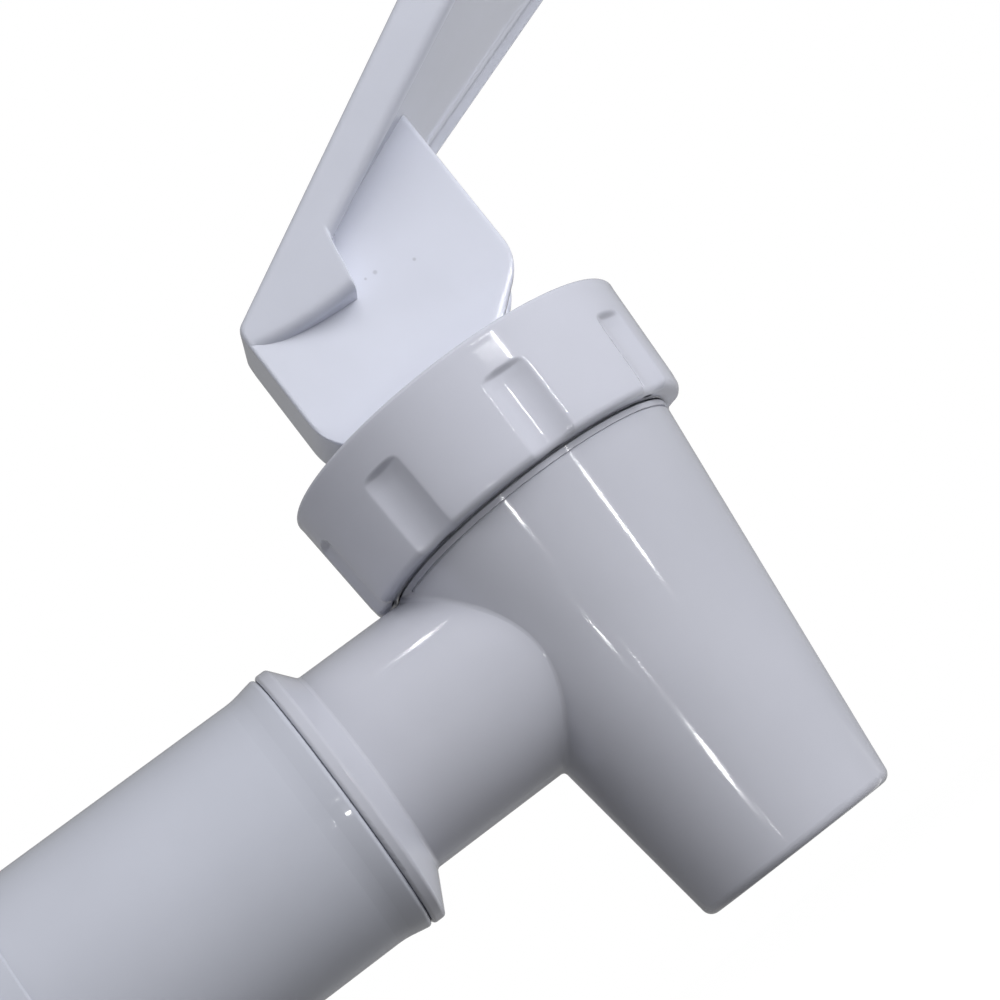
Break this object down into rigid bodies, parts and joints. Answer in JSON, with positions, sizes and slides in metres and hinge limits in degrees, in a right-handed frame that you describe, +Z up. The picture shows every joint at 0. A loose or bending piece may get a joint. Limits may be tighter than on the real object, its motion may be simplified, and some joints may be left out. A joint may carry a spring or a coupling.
{
  "type": "water dispenser tap",
  "caption": "Lever tap for a water dispenser: a long inlet socket, a tapered spout under a screwed cap, and a thumb lever that lifts a sprung stem off its seat.",
  "frame": {"origin": "centre of the inlet socket's mouth, on the sleeve's axis", "axes": "+X along the inlet sleeve towards the spout, +Z up along the tap axis, +Y to the tap's left as seen from its front"},
  "size_m": [0.1, 0.0382, 0.0837],
  "materials": {
    "shell": "glossy white ABS",
    "sleeve": "glossy white ABS",
    "cap": "glossy white ABS",
    "lever": "glossy white ABS",
    "stem": "natural acetal",
    "silicone": "milky silicone",
    "spring": "drawn stainless wire"
  },
  "bodies": {
    "tap_body": {"valve_body": "shell", "inlet_sleeve": "sleeve", "inlet_gasket": "silicone", "bonnet_cap": "cap"},
    "swivel": {"spring_washer": "stem"},
    "plunger": {"valve_stem": "stem", "seat_cup": "silicone", "return_spring": "spring"},
    "handle": {"lever": "lever"}
  },
  "joints": [
    {"name": "handle_turn", "type": "hinge", "parent": "tap_body", "child": "swivel", "pos_m": [0.06, 0, 0.0204], "axis": [0, 0, 1], "continuous": true},
    {"name": "stem_lift", "type": "slide", "parent": "swivel", "child": "plunger", "axis": [0, 0, 1], "range_m": [0, 0.00149], "deforming": ["return_spring", "seat_cup"]},
    {"name": "lever_press", "type": "hinge", "parent": "plunger", "child": "handle", "pos_m": [0.06, 0, 0.0234], "axis": [0, 1, 0], "range_deg": [0, 32], "stiffness_Nm_per_rad": 0.03, "springref_deg": -51.57}
  ],
  "couplings": [
    {"joint": "lever_press", "follows": "stem_lift", "rad_per_m": 375.38}
  ]
}
